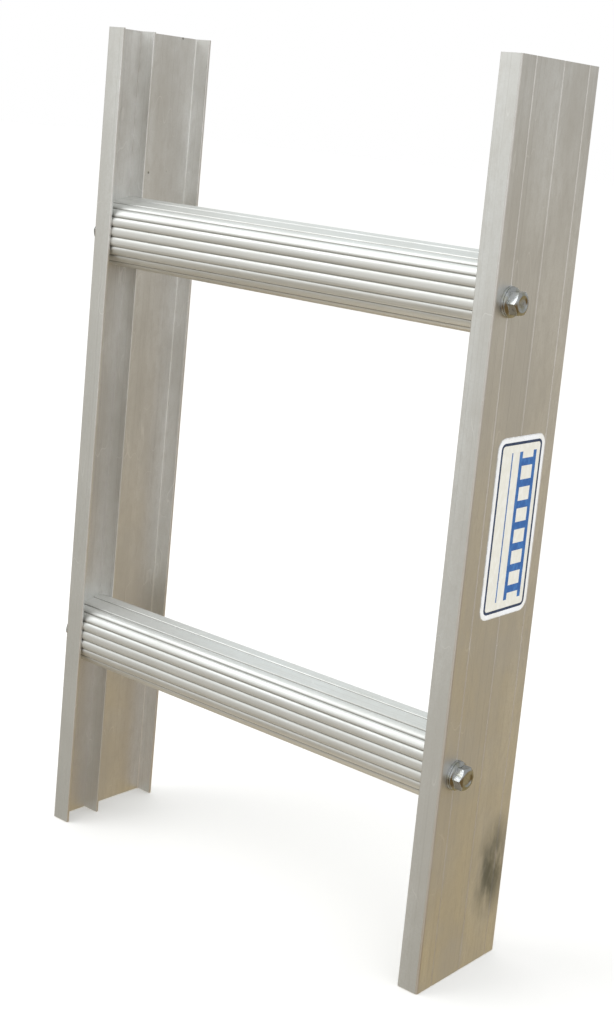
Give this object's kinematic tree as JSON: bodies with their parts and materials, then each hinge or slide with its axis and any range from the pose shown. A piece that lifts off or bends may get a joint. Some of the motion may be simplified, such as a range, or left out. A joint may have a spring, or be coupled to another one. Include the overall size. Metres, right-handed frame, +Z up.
{
  "type": "ladder extension section",
  "caption": "Short aluminium ladder section with E-shaped channel rails, reeded hollow rungs and a hexagon flange bolt through the rail at each rung end.",
  "frame": {"origin": "on the standing surface, under the middle of the section's width and depth", "axes": "+X along the rungs towards the right rail, +Y from the front flanges to the back flanges, +Z up the rails"},
  "size_m": [0.3428, 0.082, 0.55],
  "materials": {
    "rail_aluminium": "mill-finish extrusion, satin, lightly scuffed",
    "rung_aluminium": "mill-finish reeded extrusion, bright satin",
    "insert_aluminium": "sawn and tapped bar",
    "zinc_plated_steel": "bright zinc plate",
    "label_film": "printed self-adhesive film, satin"
  },
  "bodies": {
    "root": {"left_rail": "rail_aluminium", "right_rail": "rail_aluminium", "lower_rung": "rung_aluminium", "upper_rung": "rung_aluminium", "lower_left_rung_insert": "insert_aluminium", "lower_left_plain_washer": "zinc_plated_steel", "lower_left_bolt": "zinc_plated_steel", "lower_right_rung_insert": "insert_aluminium", "lower_right_plain_washer": "zinc_plated_steel", "lower_right_bolt": "zinc_plated_steel", "upper_left_rung_insert": "insert_aluminium", "upper_left_plain_washer": "zinc_plated_steel", "upper_left_bolt": "zinc_plated_steel", "upper_right_rung_insert": "insert_aluminium", "upper_right_plain_washer": "zinc_plated_steel", "upper_right_bolt": "zinc_plated_steel", "information_label": "label_film"}
  },
  "joints": []
}
